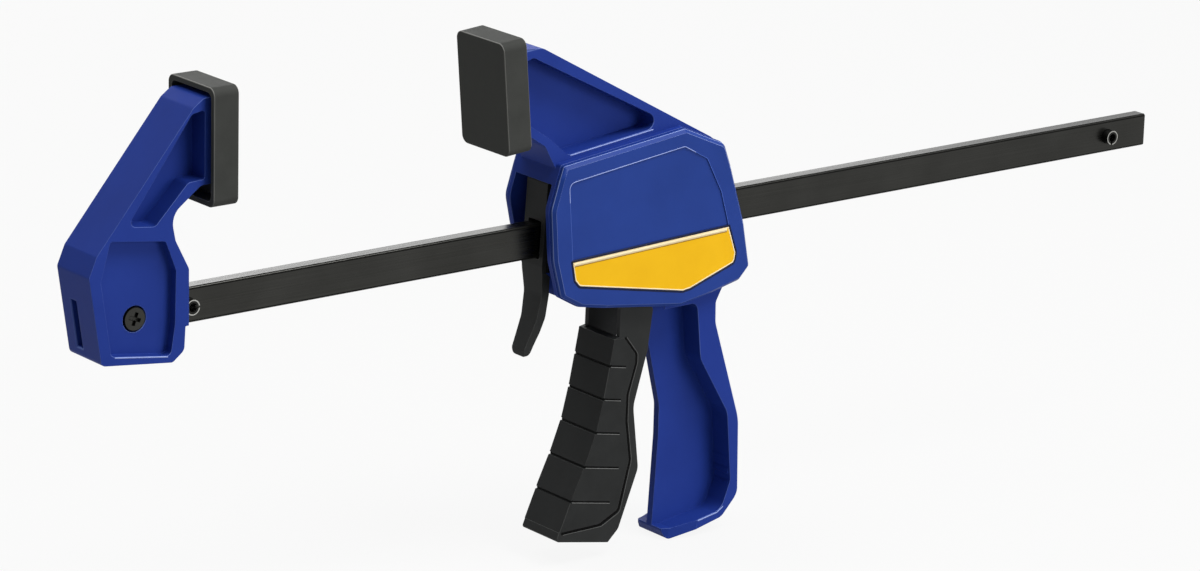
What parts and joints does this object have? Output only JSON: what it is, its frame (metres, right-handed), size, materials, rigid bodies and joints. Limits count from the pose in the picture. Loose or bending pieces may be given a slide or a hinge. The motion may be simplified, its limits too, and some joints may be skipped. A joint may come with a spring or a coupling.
{
  "type": "quick release bar clamp",
  "caption": "One-hand bar clamp: a fixed jaw on a flat bar and a sliding jaw with trigger, handle and release lever, both with soft pads.",
  "frame": {"origin": "centre of the fixed pad's clamping face", "axes": "+X along the bar from the fixed jaw to the free end, +Z from the bar to the jaw tips, +Y across the clamp to the side away from the picture's camera"},
  "size_m": [0.4927, 0.03, 0.2006],
  "materials": {
    "black_steel": "satin black oxide",
    "black_screw": "black oxide",
    "blue_nylon": "satin moulded",
    "blue_cover": "satin moulded",
    "yellow_print": "printed film",
    "black_nylon": "satin moulded",
    "grip_rubber": "soft moulded",
    "pad_rubber": "soft moulded",
    "plate_steel": "black oxide",
    "spring_steel": "drawn wire",
    "zinc_steel": "zinc plated"
  },
  "bodies": {
    "bar_assembly": {"bar": "black_steel", "stop_pin_front": "black_steel", "stop_pin_rear": "black_steel", "fixed_jaw": "blue_nylon", "fixed_jaw_screw": "black_screw", "fixed_jaw_nut": "zinc_steel", "fixed_pad": "pad_rubber"},
    "moving_jaw": {"jaw_frame": "blue_nylon", "moving_pad": "pad_rubber", "cover_near": "blue_cover", "cover_far": "blue_cover", "label_near": "yellow_print", "label_far": "yellow_print", "trigger_pin": "zinc_steel", "drive_spring": "spring_steel", "brake_spring": "spring_steel"},
    "trigger": {"trigger_core": "black_nylon", "trigger_grip": "grip_rubber"},
    "drive": {"drive_plate_front": "plate_steel", "drive_plate_rear": "plate_steel"},
    "brake": {"release_lever": "black_nylon", "brake_plate": "plate_steel"}
  },
  "joints": [
    {"name": "jaw_slide", "type": "slide", "parent": "bar_assembly", "child": "moving_jaw", "axis": [1, 0, 0], "range_m": [-0.1105, 0.19]},
    {"name": "trigger_squeeze", "type": "hinge", "parent": "moving_jaw", "child": "trigger", "pos_m": [0.172, 0, -0.0386], "axis": [0, -1, 0], "range_deg": [0, 17], "stiffness_Nm_per_rad": 1, "springref_deg": -17.19},
    {"name": "drive_advance", "type": "slide", "parent": "moving_jaw", "child": "drive", "axis": [1, 0, 0], "range_m": [0, 0.0097], "deforming": ["drive_spring"]},
    {"name": "release_pull", "type": "hinge", "parent": "moving_jaw", "child": "brake", "pos_m": [0.1413, 0, -0.0323], "axis": [0, -1, 0], "range_deg": [0, 7], "stiffness_Nm_per_rad": 0.5, "springref_deg": -11.46, "deforming": ["brake_spring"]}
  ],
  "couplings": [
    {"joint": "drive_advance", "follows": "trigger_squeeze", "m_per_rad": 0.0323}
  ]
}
